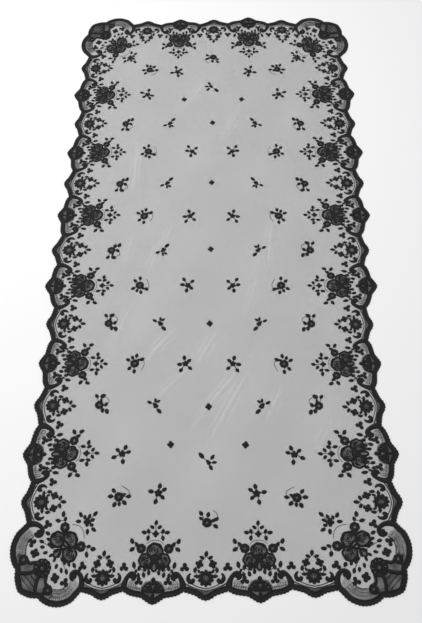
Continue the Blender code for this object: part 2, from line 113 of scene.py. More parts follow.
NET_HEIGHT = 0.5  # the net's middle plane above the surface it lies on
WAVE_RISE = 0.1  # the soft waves' height above and below that
WAVE_MARGIN = 90.0  # how far in from an edge they reach it
CORD_BASE = 0.55  # where the stitching starts
BAND_RISE = 1.9  # the edging's thickest part above that


# ---- where things lie ----

def eased(table, column, places):
    """A lay table's column at many places, eased from one row to the next."""
    table = np.array(table, float)
    places = np.clip(places, table[0, 0], table[-1, 0])
    row = np.clip(np.searchsorted(table[:, 0], places, side="right") - 1, 0, len(table) - 2)
    share = (places - table[row, 0]) / (table[row + 1, 0] - table[row, 0])
    weight = 0.5 - 0.5 * np.cos(np.pi * share)
    return table[row, column] + weight * (table[row + 1, column] - table[row, column])


def shifted(points):
    """Where the flat cloth's points lie, their shift added."""
    x, y = points[:, 0], points[:, 1]
    edges = (
        (HALF_WIDTH + x, LAY_SIDES, 1, y), (HALF_WIDTH - x, LAY_SIDES, 3, y),
        (HALF_LENGTH + y, LAY_ENDS, 1, x), (HALF_LENGTH - y, LAY_ENDS, 3, x),
    )
    shift = np.zeros((len(points), 2))
    total = np.zeros(len(points))
    middle_share = np.ones(len(points))
    for distance, table, column, place in edges:
        share = np.exp(-(distance / LAY_REACH) ** 2)
        shift[:, 0] += share * eased(table, column, place)
        shift[:, 1] += share * eased(table, column + 1, place)
        total += share
        middle_share *= 1 - share
    shift += middle_share[:, None] * np.array(LAY_MIDDLE)
    return points + shift / (total + middle_share)[:, None]


def crease_lines():
    """Every crease's ridge as points close together, with its height and spread."""
    for rise, spread, *ridge in CREASES:
        line = smooth_line(ridge, CREASE_STEP)
        normals = normals_of(line)
        for offset, length, share in CREASE_TWINS:
            skipped = round(len(line) * (1 - length) / 2)
            part = slice(skipped, len(line) - skipped)
            yield line[part] + offset * normals[part], normals[part], rise * share, spread


def gathered(points):
    """How high each point is lifted by the creases, in millimetres."""
    lift = np.zeros(len(points))
    for ridge, _, rise, spread in CREASE_LINES:
        low = ridge.min(0) - CREASE_BOUND * spread
        high = ridge.max(0) + CREASE_BOUND * spread
        near = np.nonzero(np.all((points > low) & (points < high), 1))[0]
        away = np.linalg.norm(points[near, None] - ridge[None], axis=2)
        nearest = away.argmin(1)
        distance = away[np.arange(len(near)), nearest]
        along = nearest / (len(ridge) - 1)
        taper = np.sin(np.pi * along) ** CREASE_BLUNT
        raised = rise * taper * np.exp(-(distance / spread) ** 2)
        lift[near] = np.maximum(lift[near], raised)
    return lift


def waved(points):
    """The slight waves in which a soft cloth lies, from nothing at the edging to their most."""
    x, y = points[:, 0], points[:, 1]
    inside_x = np.clip((HALF_WIDTH - WAVE_MARGIN - np.abs(x)) / WAVE_MARGIN, 0, 1)
    inside_y = np.clip((HALF_LENGTH - WAVE_MARGIN - np.abs(y)) / WAVE_MARGIN, 0, 1)
    swell = np.sin(x / 61 + y / 143) * np.sin(y / 87 - x / 171)
    ripple = 0.6 * np.sin(x / 37 - y / 59)
    return inside_x * inside_y * WAVE_RISE * (swell + ripple)


def laid(points, heights):
    """Places in metres of flat points and heights above the net's own."""
    lift = gathered(points) + waved(points) + heights
    flat = shifted(points) - BOX_MIDDLE
    return np.column_stack([flat, lift]) * MM


class Pen:
    """Draws in a motif's axes onto a piece of work."""

    def __init__(self, work, origin, along, inward):
        self.work = work
        self.origin = np.array(origin, float)
        self.along = np.array(along, float)
        self.inward = np.array(inward, float)
        self.turned = self.along[0] * self.inward[1] < self.along[1] * self.inward[0]

    def at(self, points):
        """The flat cloth's places for points in the motif's axes."""
        points = np.asarray(points, float)
        return self.origin + points[:, :1] * self.along + points[:, 1:2] * self.inward

    def place(self, points):
        """Flat places in the motif's own axes."""
        axes = np.column_stack([self.along, self.inward])
        return np.linalg.solve(axes, (points - self.origin).T).T

    def on(self, work):
        """The same motif's pen on another piece of work."""
        return Pen(work, self.origin, self.along, self.inward)

    def sides(self):
        """This pen and the one that draws the same on the other side of v."""
        return self, Pen(self.work, self.origin, -self.along, self.inward)

    def twins(self):
        """This pen and the one that draws the same across a corner's diagonal."""
        return self, Pen(self.work, self.origin, self.inward, self.along)


def linked(name, data):
    """A new object in the scene."""
    made = bpy.data.objects.new(name, data)
    bpy.context.scene.collection.objects.link(made)
    return made


class Work:
    """A piece of work: corners with their places, heights and stitch coordinates, and its faces.

    Its close_mesh and open_mesh are the works that take the mesh patches drawn with it.
    """

    def __init__(self, close_mesh=None, open_mesh=None):
        self.flat, self.height, self.stitch, self.faces = [], [], [], []
        self.count = 0
        self.close_mesh, self.open_mesh = close_mesh, open_mesh

    def add(self, flat, heights, stitch, faces, turned=False):
        """Corners and faces, whose numbers count from the first of these corners."""
        self.flat.append(flat)
        self.height.append(heights)
        self.stitch.append(stitch)
        step = -1 if turned else 1
        self.faces += [[corner + self.count for corner in face[::step]] for face in faces]
        self.count += len(heights)

    def piece(self, name, look, slot, *nodes, smooth=True):
        """The finished object, lace_ before its name, on the shawl's body."""
        flat = np.concatenate(self.flat)
        places = laid(flat, np.concatenate(self.height))
        mesh = bpy.data.meshes.new("lace_" + name)
        mesh.from_pydata(places.tolist(), [], self.faces)
        stitch = np.concatenate(self.stitch)
        corners = np.zeros(len(mesh.loops), np.int32)
        mesh.loops.foreach_get("vertex_index", corners)
        layer = mesh.uv_layers.new(name=STITCH_MAP)
        layer.data.foreach_set("uv", stitch[corners].ravel())
        mesh.materials.append(look)
        lift = mesh.attributes.new(name=CREASE_LIFT, type="FLOAT", domain="POINT")
        lift.data.foreach_set("value", gathered(flat) / CREASE_TOP)
        if smooth:
            mesh.shade_smooth()
        solid = linked(mesh.name, mesh)
        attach(solid, "root")
        if nodes:
            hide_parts(*nodes)
        return solid


# ---- lines ----

def smooth_line(points, step):
    """A smooth line through the points, with a point every step or so."""
    points = np.array(points, float)
    ends = np.vstack([points[:1], points, points[-1:]])
    line = []
    for p0, p1, p2, p3 in zip(ends, ends[1:], ends[2:], ends[3:]):
        parts = max(1, round(float(np.linalg.norm(p2 - p1)) / step))
        for part in range(parts):
            t = part / parts
            line.append(0.5 * (2 * p1 + (p2 - p0) * t + (2 * p0 - 5 * p1 + 4 * p2 - p3) * t ** 2
                               + (3 * p1 - p0 - 3 * p2 + p3) * t ** 3))
    return np.array(line + [points[-1]])


def polar(u, v, reach, degrees):
    """The place at a distance and an angle from another."""
    turn = math.radians(degrees)
    return u + reach * math.cos(turn), v + reach * math.sin(turn)


def arc(u, v, radius, start, end, parts):
    """Points on an arc from one angle to another, in degrees."""
    angles = np.radians(np.linspace(start, end, parts + 1))
    return np.column_stack([u + radius * np.cos(angles), v + radius * np.sin(angles)])


def whole_turn(parts):
    """Angles spaced all the way round, and the unit circle's points at them."""
    angles = np.linspace(0, 2 * np.pi, parts, endpoint=False)
    return angles, np.column_stack([np.cos(angles), np.sin(angles)])


def mirrored(points):
    """The points with u turned round, in reverse order."""
    return [(-u, v) for u, v in reversed(points)]


def swapped(points):
    """The points with their two axes exchanged, in reverse order."""
    return [(t, s) for s, t in reversed(points)]


def normals_of(line, closed=False):
    """The unit normals on a line's left."""
    ahead, behind = np.roll(line, -1, 0), np.roll(line, 1, 0)
    if not closed:
        ahead[-1], behind[0] = line[-1], line[0]
    run = ahead - behind
    run /= np.maximum(np.linalg.norm(run, axis=1), 1e-9)[:, None]
    return np.column_stack([-run[:, 1], run[:, 0]])


def walked_along(line):
    """The distance along a line to each of its points."""
    return np.concatenate([[0], np.cumsum(np.linalg.norm(np.diff(line, axis=0), axis=1))])


def signed_area(line):
    """The area inside a closed line, above zero where it runs anticlockwise."""
    x, y = line.T
    return np.sum(x * np.roll(y, -1) - y * np.roll(x, -1)) / 2


# ---- stitches ----

ROUND_SECTION = ((-1, 0), (-0.8, 0.62), (0, 1), (0.8, 0.62), (1, 0))
LEAF_SECTION = ((-1, 0), (-0.86, 0.5), (-0.42, 1), (0, 0.62), (0.42, 1), (0.86, 0.5), (1, 0))
KNOT_SECTION = ((1.0, 0.0), (0.82, 0.6), (0.45, 0.92))
LEAF_WIDTHS = (  # the place along a leaf, its width there
    (0.0, 0.22), (0.08, 0.56), (0.2, 0.83), (0.38, 1.0), (0.58, 0.98), (0.76, 0.78), (0.9, 0.48),
    (1.0, 0.14),
)
LEAF_SLANT = 0.6  # how far a leaf's stitches lean towards its tip
LEAF_SPREAD = (2.8, 1.3)  # how much longer and wider the stitches reach than its drawn size
FULL_SHARE = 0.5  # of a cord's full width, at which it is at its full height
STEM_STEP = 4.0
OVAL_PARTS = 16
KNOT_PARTS = 8
FILLING_LIFT = 0.25  # the fillings' height above the net
NEARLY = 0.01  # corners nearer than this become one


def loft(pen, rows, heights, stitch, closed=False):
    """A skin through rows of corners, each row a closed section, with capped ends."""
    count = rows.shape[1]
    faces = []
    last = len(rows) if closed else len(rows) - 1
    for row in range(last):
        here, there = row * count, (row + 1) % len(rows) * count
        for corner in range(count):
            following = (corner + 1) % count
            faces.append([here + corner, here + following, there + following, there + corner])
    if not closed:
        faces.append(list(reversed(range(count))))
        faces.append([last * count + corner for corner in range(count)])
    flat = pen.at(rows.reshape(-1, 2))
    pen.work.add(flat, heights.ravel(), stitch.reshape(-1, 2), faces, not pen.turned)


def cord(pen, line, width, rise, closed=False, section=ROUND_SECTION, slant=0.0):
    """A padded cord of satin stitches along a line, as wide at each point as its width says."""
    line = np.asarray(line, float)
    widths = np.broadcast_to(np.asarray(width, float), len(line))
    sides, ups = np.array(section, float).T
    reach = np.outer(widths, sides) / 2
    rows = line[:, None] - normals_of(line, closed)[:, None] * reach[..., None]
    narrow = np.minimum(1.0, widths / (FULL_SHARE * widths.max()))
    places = walked_along(line)[:, None] + slant * np.abs(reach)
    loft(pen, rows, CORD_BASE + rise * np.outer(narrow, ups), np.dstack([reach, places]), closed)


def leaf(pen, u, v, angle, length, width, rise=1.1):
    """A pointed satin leaf with a vein, round its middle."""
    shares, widths = np.array(LEAF_WIDTHS).T
    reach = (shares - 0.5) * (length + LEAF_SPREAD[0])
    line = (u, v) + np.outer(reach, polar(0, 0, 1, angle))
    cord(pen, line, (width + LEAF_SPREAD[1]) * widths, rise, section=LEAF_SECTION,
         slant=LEAF_SLANT)


def stem(pen, points, width=1.4, rise=0.6):
    """A single couched thread."""
    cord(pen, smooth_line(points, STEM_STEP), width, rise)


def curl(pen, points, widths, rise):
    """A cord that curls along the points, its widths spread evenly over it."""
    line = smooth_line(points, CURL_STEP)
    places = np.linspace(0, len(widths) - 1, len(line))
    cord(pen, line, np.interp(places, range(len(widths)), widths), rise)


def ring(pen, u, v, radius, width, rise=1.2, lobes=0, depth=0.0, parts=18):
    """A closed round of satin stitches, scalloped into lobes where they are given."""
    angles, circle = whole_turn(parts)
    reach = radius + depth * np.abs(np.cos(lobes * angles / 2))
    cord(pen, circle * reach[:, None] + (u, v), width, rise, closed=True)


def oval(pen, u, v, wide, tall, angle, width, rise):
    """A closed oval of satin stitches."""
    line = whole_turn(OVAL_PARTS)[1] * (wide / 2, tall / 2)
    turn = np.array([polar(0, 0, 1, angle), polar(0, 0, 1, angle + 90)])
    cord(pen, line @ turn + (u, v), width, rise, closed=True)


def knot(pen, u, v, radius, rise=1.3):
    """A small padded dot."""
    circle = whole_turn(KNOT_PARTS)[1]
    middle = np.array([[u, v]])
    rows = [middle + radius * reach * circle for reach, _ in KNOT_SECTION]
    places = np.vstack(rows + [middle])
    heights = np.repeat([CORD_BASE + rise * up for _, up in KNOT_SECTION], KNOT_PARTS)
    faces = [list(range(KNOT_PARTS))]
    crest = len(KNOT_SECTION) * KNOT_PARTS
    for here in range(0, crest, KNOT_PARTS):
        for corner in range(here, here + KNOT_PARTS):
            following = here + (corner + 1) % KNOT_PARTS
            above = [corner + KNOT_PARTS, following + KNOT_PARTS]
            faces.append([following, corner] + (above if above[0] < crest else [crest]))
    pen.work.add(pen.at(places), np.append(heights, CORD_BASE + rise), places - middle, faces,
                 not pen.turned)


def petals(pen, u, v, inner, outer, count, width, start, rise=1.2):
    """Satin petals round a middle."""
    for petal in range(count):
        angle = start + 360 * petal / count
        middle = polar(u, v, (inner + outer) / 2, angle)
        leaf(pen, *middle, angle + 180, outer - inner, width, rise)


def meshed(corners, rim_count):
    """The places and faces of a flat patch, whose rim is the first of its corners."""
    rim = [list(range(rim_count))]
    result = delaunay_2d_cdt([Vector(point) for point in corners], [], rim, 0, NEARLY)
    places = np.array([tuple(point) for point in result[0]])
    return places, [list(face) for face, source in zip(result[2], result[5]) if source]


def filled(pen, outline, open_mesh=False):
    """A patch of close or open mesh in the ground, inside an outline."""
    flat = pen.at(np.asarray(outline, float))
    if signed_area(flat) < 0:
        flat = flat[::-1]
    places, faces = meshed(flat, len(flat))
    work = pen.work.open_mesh if open_mesh else pen.work.close_mesh
    work.add(places, np.full(len(places), NET_HEIGHT + FILLING_LIFT), places, faces)


def disc(pen, u, v, radius, parts=12):
    """A round patch of close mesh."""
    filled(pen, arc(u, v, radius, 0, 360 - 360 / parts, parts - 1))


# ---- the motifs ----

CURL_STEP = 2.5
SCROLL_WIDTHS = (17, 15, 12.5, 11, 10.5, 10.5, 9.5, 7)
SCROLL_RISE = 1.9
LARGE_SCROLL = (
    (-73, 36), (-71, 48), (-65, 61), (-57, 69), (-50, 68.5), (-46, 63), (-48, 57), (-54, 56),
)
# Columns: u, v, angle, length, width. All have a twin on the other side of the middle line.
LARGE_LEAVES = (
    (50, 89, 80, 14, 8.5), (36, 82, 100, 11, 8), (23, 79, 60, 10, 7.5), (12, 71, 100, 10, 7.5),
    (24.5, 66, 75, 11, 8), (37.5, 65, 80, 9, 7), (15, 84, 70, 12, 7.5), (44, 75, 120, 7, 5),
    (58, 146, 70, 12, 9), (46, 138, 60, 11, 8), (57, 126, -32, 12, 9),
    (9.5, 180, 35, 10, 7.5), (29, 167, 12, 11, 8.5), (18, 170, 75, 10, 8), (18.5, 153, -80, 11, 8),
)
LARGE_TREFOILS = ((36, 51, 10.5, 90), (75, 84, 11, 90))
# The threads: width, and the points they pass.
LARGE_STEMS = (
    (1.4, (36, 56), (38, 66), (48, 81)), (1.4, (24, 66), (27, 75), (34, 81)),
    (1.4, (12, 71), (18, 78), (22, 86)), (1.4, (40, 131), (47, 138), (56, 146)),
    (1.4, (47, 135), (57, 126)), (1.2, (0, 148), (12, 146), (22, 138)),
    (1.4, (4, 165), (16, 167), (28, 167)), (1.4, (15, 167), (18, 153)),
)
# A large scallop's knob: its half shell's outline, and the fan's petals by angle and reach.
HALF_SHELL = [(0, 11), (20, 13), (29, 27), (29, 38), (20, 50), (0, 55)]
FAN_PETALS = ((14, 27), (38, 26), (62, 25))
FAN_ROOT = 26  # how far in the petals meet
FAN_MIDDLE = 0.56  # of its reach, where a petal's middle is
FAN_LENGTH = 0.88  # of its reach, how long it is
# The mesh beside each scroll: its outline, and its bars with their first ends and how those move.
SCROLL_MESH = (
    (-66, 36), (-50, 30), (-28, 27), (-28, 36), (-38, 40), (-44, 46), (-46, 54), (-56, 54),
    (-63, 48),
)
BAR_COUNT = 7
BAR_START = ((-61, 33.0), (-58, 50.5))
BAR_MOVES = ((5.2, -0.5), (5.2, -2.8))
BAR_WIDTH = 0.9

# A rose's petals: how far out they are, where they start, how far round they go, their width.
ROSE_PETALS = (
    (0.66, -70, 96, 4.6), (0.62, 44, 84, 4.2), (0.60, 146, 92, 4.4), (0.38, 20, 130, 3.6),
    (0.36, 170, 140, 3.4),
)
ROSE_TIP = 1.6  # the width of a petal's ends
ROSE_EYE = 0.16  # how far off the middle a rose's eye is, of its radius


def bloom(pen, u, v, radius, towards):
    """A full rose: a scalloped rim round curved petals that turn about a small eye."""
    disc(pen, u, v, radius - 1.5, 20)
    ring(pen, u, v, radius - 2.4, 5.6, 1.5, lobes=7, depth=1.6, parts=42)
    du, dv = polar(0, 0, ROSE_EYE * radius, towards)
    for reach, start, sweep, width in ROSE_PETALS:
        line = arc(u + du, v + dv, reach * radius, towards + start, towards + start + sweep, 9)
        cord(pen, line, np.interp(range(10), (0, 3, 6, 9), (ROSE_TIP, width, width, ROSE_TIP)), 1.4)
    ring(pen, u + du, v + dv, 0.13 * radius, 2.4, 1.3, parts=10)
    leaf(pen, u - 2.9 * du, v - 2.9 * dv, towards + 90, 0.7 * radius, 0.26 * radius, 1.3)


def rosebud(pen, u, v, radius):
    """A small round flower of many petals with an open eye."""
    disc(pen, u, v, 0.5 * radius)
    ring(pen, u, v, 0.62 * radius, 0.74 * radius, 1.5, lobes=7, depth=0.14 * radius, parts=42)


def trefoil(pen, u, v, radius, angle, petal_count=3):
    """Three or four plump petals round a knot."""
    for petal in range(petal_count):
        reach = radius * (0.62 if petal % 2 else 0.54)
        middle = polar(u, v, reach, angle + 360 * petal / petal_count)
        knot(pen, *middle, 0.52 * radius, 1.1)
    knot(pen, u, v, 0.36 * radius, 1.5)


def large_flowers(pen):
    """A large scallop's bouquet."""
    bloom(pen, 0, 121, 20.5, 90)
    for half in pen.sides():
        bloom(half, 21.5, 99.5, 17.5, 200)
        rosebud(half, 34, 128, 11)
        leaf(half, 9.5, 88, 108, 24, 8)
        leaf(half, 7, 104, 60, 13, 8)
    leaf(pen, 0, 101, 90, 14, 8)
    oval(pen, 0, 84, 12, 20, 0, 5.6, 1.4)
    disc(pen, 0, 84, 6)


def leaves(halves, rows, flowers, stems):
    """The leaves, small flowers and threads of both halves of a motif."""
    for half in halves:
        for row in rows:
            leaf(half, *row)
        for row in flowers:
            trefoil(half, *row)
        for width, *points in stems:
            stem(half, points, width)


def large_leaves(pen):
    """The drops, spray and threads round a large scallop's bouquet."""
    leaves(pen.sides(), LARGE_LEAVES, LARGE_TREFOILS, LARGE_STEMS)
    leaf(pen, 0, 191, 78, 11, 8)
    stem(pen, ((0, 168), (0, 180), (0, 190)))
    trefoil(pen, 0, 163.5, 8, 0, 4)


def large_edging(pen):
    """A large scallop's two scrolls, and the shell in its knob."""
    filled(pen, mirrored(HALF_SHELL[1:-1]) + HALF_SHELL)
    starts, moves = np.array(BAR_START), np.array(BAR_MOVES)
    for half in pen.sides():
        curl(half, LARGE_SCROLL, SCROLL_WIDTHS, SCROLL_RISE)
        knot(half, -53.5, 62.5, 6.0, 1.8)
        filled(half, SCROLL_MESH, open_mesh=True)
        for bar in range(BAR_COUNT):
            stem(half, starts + bar * moves, BAR_WIDTH)
        stem(half, ((-62, 41), (-48, 37), (-30, 34)), BAR_WIDTH)
        for angle, reach in FAN_PETALS:
            middle = polar(0, FAN_ROOT, FAN_MIDDLE * reach, angle)
            leaf(half, *middle, angle, FAN_LENGTH * reach, 6.6, 1.7)
        cord(half, arc(0, FAN_ROOT, 25.5, 2, 78, 12) * (1, 0.92) + (0, 2), 4.2, 1.7)
        stem(half, ((0, 26.5), (14, 26.5), (28, 31)), 4.6, 1.7)
    oval(pen, 0, 38, 12, 20, 0, 4.2, 1.8)
    knot(pen, 0, 55, 5.6, 1.9)
    leaf(pen, 0, 49, 90, 13, 8)
    leaf(pen, 0, 18.5, 90, 9, 8)


SMALL_LEAVES = (
    (22, 64, 8, 12, 7), (26, 79, 100, 11, 7.5), (17, 76, 60, 8, 5.5), (10.5, 108, 25, 10, 7.5),
)
SMALL_TREFOILS = ((16, 92.5, 10, 20, 4),)
SMALL_STEMS = (
    (2.2, (0, 36), (18, 40), (35, 48), (46, 56)), (1.4, (18, 64), (24, 72), (26, 84)),
    (2.0, (0, 31.5), (20, 35.5), (38, 42.5), (50, 48.5)), (1.4, (0, 112), (6, 104), (13, 98)),
)
SMALL_CURL = ((-27, 57), (-32, 51.5), (-39, 53), (-42, 60), (-40, 67), (-36, 70))
SMALL_CURL_WIDTHS = (6, 10.5, 11.5, 10, 7, 4)
# Half of the mesh between its band and its threads.
SMALL_MESH = [(0, 23), (18, 28), (36, 36), (50, 48), (35, 42), (18, 35), (0, 31.5)]
SEED_COUNT = 5
SEED_TURN = 1.257  # from one seed to the next, in radians
SEED_REACH = 4.6


def small_edging(pen):
    """A small scallop's mesh beside the edging."""
    filled(pen, mirrored(SMALL_MESH[1:-1]) + SMALL_MESH)


def small_flowers(pen):
    """A small scallop's open rosette."""
    disc(pen, 0, 60, 16, 20)
    petals(pen, 0, 60, 7.5, 18.6, 10, 8.6, 18, 1.5)
    ring(pen, 0, 60, 9.6, 5.0, 1.5)
    for seed in range(SEED_COUNT):
        turn = SEED_TURN * seed
        knot(pen, SEED_REACH * math.cos(turn), 60 + SEED_REACH * math.sin(turn), 1.4, 1.0)


def small_leaves(pen):
    """The curls, leaves and small flowers round a small scallop's rosette."""
    leaves(pen.sides(), SMALL_LEAVES, SMALL_TREFOILS, SMALL_STEMS)
    for half in pen.sides():
        curl(half, SMALL_CURL, SMALL_CURL_WIDTHS, 1.3)
        knot(half, -30, 56, 4.2)
    leaf(pen, 0, 117, 80, 12, 8.5)


# Half of the corner shell's edge, and its stems, in s and t.
CORNER_SHELL = [
    (42, 27), (58, 22), (77, 21), (89, 13), (100, 8), (112, 16), (111, 30), (104, 42), (96, 48),
    (97, 62), (100, 78), (94, 94),
]
SHELL_STEMS = (
    (6.0, (97, 46), (91, 36), (88, 24), (88, 14)), (9.5, (76, 68), (70, 52), (68, 36), (69, 22)),
    (6.5, (94, 64), (90, 52), (94, 40)), (4.0, (88, 22), (68, 25), (48, 30)),
)
# The cross threads of its middle patch.
SHELL_THREADS = (
    (2.2, (66, 36), (54, 48), (48, 54), (36, 66)), (1.8, (58, 31), (47, 41), (41, 47), (31, 58)),
    (2.6, (67, 52), (60, 57), (57, 60), (52, 67)),
)
CORNER_SCROLL = (
    (181, 34), (182, 50), (178, 63), (170, 71), (161, 72), (154, 66), (155, 57), (161, 54),
)
# Columns: s, t, angle, length, width. All have a twin across the diagonal.
CORNER_LEAVES = (
    (206, 123, 5, 12, 9), (194, 129, 20, 9, 7.5), (190, 110, -75, 12, 8.5),
    (160, 86, -60, 11, 8), (141, 72, -75, 11, 7.5), (128, 75, -80, 10, 7), (115, 84, -100, 10, 7),
    (109, 99, -120, 9, 6.5), (146, 89, -70, 9, 7), (135, 93, -80, 9, 7), (128, 99, -60, 8, 6),
    (168, 204, 120, 12, 8), (179, 198, 80, 9, 7), (191, 200, 70, 10, 7.5), (163, 188, 180, 12, 8),
)
CORNER_TREFOILS = ((139, 48, 11, 70), (114, 58, 11, 15, 4), (181, 84, 11, 100))
CORNER_STEMS = (
    (1.4, (182, 130), (194, 128), (206, 123)), (1.4, (190, 127), (190, 112)),
    (1.4, (122, 106), (131, 90), (141, 73)), (1.4, (186, 190), (178, 197), (169, 203)),
)


def corner_flowers(pen):
    """A corner's bouquet: three roses, their cup and two buds."""
    bloom(pen, 144, 144, 20, 45)
    for half in pen.twins():
        bloom(half, 145.5, 112, 19, 250)
        rosebud(half, 174, 129, 11.5)
        leaf(half, 120, 112, 70, 16, 7.5)
        leaf(half, 131, 124, 10, 12, 6)
        leaf(half, 160, 128, 30, 9, 6)
    disc(pen, 113, 113, 8)
    oval(pen, 113, 113, 13, 19, 135, 4.6, 1.4)
    knot(pen, 123, 123, 4.4, 1.4)


def corner_leaves(pen):
    """The leaves, small flowers and threads round a corner's bouquet."""
    leaves(pen.twins(), CORNER_LEAVES, CORNER_TREFOILS, CORNER_STEMS)
    leaf(pen, 206, 206, 45, 12, 8.5)
    trefoil(pen, 186, 186, 10, 0, 4)
    stem(pen, ((148, 181), (166, 177), (177, 166), (181, 148)))
    stem(pen, ((186, 186), (206, 206)))


def corner_ornament(pen):
    """The corner's shell of close mesh with its flowers and stems, and the lobes' scrolls."""
    filled(pen, CORNER_SHELL + swapped(CORNER_SHELL))
    for half in pen.twins():
        curl(half, CORNER_SCROLL, SCROLL_WIDTHS, SCROLL_RISE)
        knot(half, 162.5, 62.5, 6.5, 1.9)
        ring(half, 99, 31.5, 6.8, 8.4, 1.7, lobes=6, depth=1.8, parts=24)
        for width, *points in SHELL_STEMS:
            stem(half, points, width, 1.8)
    for width, *points in SHELL_THREADS:
        stem(pen, points, width, 1.2)
    petals(pen, 80, 80, 5.0, 21.5, 10, 6.4, 45, 1.8)
    ring(pen, 80, 80, 19.0, 4.4, 1.9, lobes=10, depth=1.6, parts=40)
    ring(pen, 80, 80, 6.5, 4.0, 1.7, parts=16)


# ---- the field's sprigs ----

# Each kind: how its middle is drawn and its radius, its leaves (u, v, angle, length), its thread.
SPRIG_KINDS = {
    "rosette": (("round", 11), ((-9, 25.5, 125, 11), (8, 26, 30, 14), (4, 14, 90, 8),
        (18, 2, 60, 11), (9.5, -15, -80, 12), (22, -18, -70, 13)),
        ((15, 23), (24, 17), (25, 9), (20, 1))),
    "wreathed": (("round", 11.5), ((4.5, 24, 80, 11), (-7, 18, 110, 10), (-19, 11, 150, 11),
        (20, 13, 30, 12), (9, 10, 50, 9), (-14, -15, 230, 11), (0, -24, 265, 11)),
        ((21, 13), (27, 0), (23, -12), (18, -21))),
    "spray": (("star", 7), ((-3.6, 18, 100, 12), (10, 9.5, 40, 11), (-16, -2, 185, 12),
        (-12, -20, 240, 11), (13, -13.5, -45, 11)), ((0, 0), (-8, -12), (-12, -20))),
    "branch": (("blob", 8), ((-15, 9, 150, 12), (1, 15, 88, 10), (9, 12, 40, 10),
        (12, -16, -46, 15)), ((-6, 5), (2, -6), (12, -17))),
    "border_rose": (("round", 11), ((-14, 16, 130, 11), (-21, 1, 180, 12), (-10, -20, 245, 12),
        (2, -18, 270, 10), (15, -15, -45, 12), (25, 1, 10, 11), (13, 6, 20, 8)),
        ((25, 2), (26, 10), (23, 17), (5, 28))),
    "border_spray": (("star", 8.5), ((3, 18, 80, 12), (15, 9, 30, 11), (-19, 4, 170, 12),
        (11, -11, -45, 11), (-6, -22, 255, 12)), ((0, 0), (-4, -12), (-6, -22))),
    "side_spray": (("star", 8), ((-12.6, 10, 140, 11), (7.6, 17, 70, 12), (16, 4.5, 15, 11),
        (-21, -9.5, 200, 12), (3, -21, -82, 12)), ((0, 0), (-10, -3), (-21, -9.5))),
    "end_branch": (("blob", 6.5), ((-17, 18, 130, 17), (12, 14, 55, 13), (17, 0, 5, 11),
        (8, -14, -60, 13)), ((-12, 13), (-2, 3), (8, -14))),
    "end_rose": (("round", 11), ((-15, 23, 125, 11), (3, 20, 80, 11), (-14.5, 10, 150, 9),
        (15.5, 5, 20, 10), (23, 8.5, 30, 11), (22, -9, -40, 11)),
        ((14, 30), (22, 25), (26, 18), (25, 9))),
    "dot": (("cross", 9), (), ()),
}
# Distance from the middle line, y, and -1 where it is upside down, or where its left one is.
SPRIGS = {
    "end_rose": ((0, -808), (0, 808, -1)),
    "border_rose": ((222, -745), (222, 748, -1)),
    "border_spray": ((123, -735), (124, 738, -1)),
    "end_branch": ((0, -655), (5, 668, -1)),
    "side_spray": ((221, -633), (222, 631, -1)),
    "dot": ((97, -608), (0, -503), (0, -252), (0, 0), (0, 252), (0, 503), (97, 608)),
    "rosette": ((292, -500), (287, -252), (295, -3, -1, 1), (290, 248, -1), (290, 501, -1)),
    "branch": ((143, -500), (141, -252), (143, -3, -1, 1), (141, 250, -1), (142, 501, -1)),
    "wreathed": ((205, -377), (205, -126, -1), (206, 122), (207, 380, -1)),
    "spray": ((65, -377), (65, -126, -1), (65, 122), (65, 380, -1)),
}
SINGLE_SPRIG = 10.0  # a sprig nearer the middle line than this has no twin
SPRIG_LEAF_WIDTH = 0.8  # of its length
BRANCH_LEAF_WIDTH = 0.62  # the same for the slimmer leaves of a branch
LEAF_ROOT = 0.45  # of a leaf's distance, where its stem starts


def sprig(pen, kind):
    """One of the field's sprigs."""
    (middle, radius), rows, thread = SPRIG_KINDS[kind]
    slimness = SPRIG_LEAF_WIDTH
    if middle == "round":
        rosebud(pen, 0, 0, radius)
    elif middle == "star":
        petals(pen, 0, 0, 0.5, radius + 1, 5, 0.86 * radius, 90)
        knot(pen, 0, 0, 0.42 * radius, 1.5)
    elif middle == "blob":
        leaf(pen, 1, 1, 135, 2.0 * radius, 1.3 * radius)
        leaf(pen, 3, -3, 200, 1.5 * radius, 1.0 * radius)
        slimness = BRANCH_LEAF_WIDTH
    else:
        trefoil(pen, 0, 0, radius, 8, 4)
    for u, v, angle, length in rows:
        leaf(pen, u, v, angle, length, slimness * length)
        if middle != "blob" or kind == "end_branch":
            stem(pen, ((LEAF_ROOT * u, LEAF_ROOT * v), (u, v)), 1.5)
    if thread:
        stem(pen, thread)


# ---- the sides and corners ----

OUTLINE_STEP = 1.6
SOFTENING = 3  # steps on either side over which the outline's normals are averaged
BAND_WIDTH = 12.6
PICOT_PITCH = 8.5
PICOT_REACH = 2.3  # how far they stand out
PICOT_DEPTH = 2.4  # how far in they bend the band
# The edging's section, two cords and the web between: distance in from its edge, height.
BAND_SECTION = (
    (0.0, 0.0), (0.0, 0.45), (1.0, 0.92), (2.6, 0.96), (3.8, 0.5), (6.2, 0.66), (8.7, 0.5),
    (9.6, 0.8), (11.4, 0.8), (BAND_WIDTH, 0.35), (BAND_WIDTH, 0.0),
)
SIDES = (  # name, its direction, how far off its large peaks' line is, pitch, places
    ("near", (1, 0), HALF_LENGTH, PITCH_SHORT, PLACES_SHORT),
    ("right", (0, 1), HALF_WIDTH, PITCH_LONG, PLACES_LONG),
    ("far", (-1, 0), HALF_LENGTH, PITCH_SHORT, PLACES_SHORT),
    ("left", (0, -1), HALF_WIDTH, PITCH_LONG, PLACES_LONG),
)
CORNERS = (  # name, the corner's signs, and whether s is walked first
    ("near_right", 1, -1, True), ("far_right", 1, 1, False),
    ("far_left", -1, 1, True), ("near_left", -1, -1, False),
)


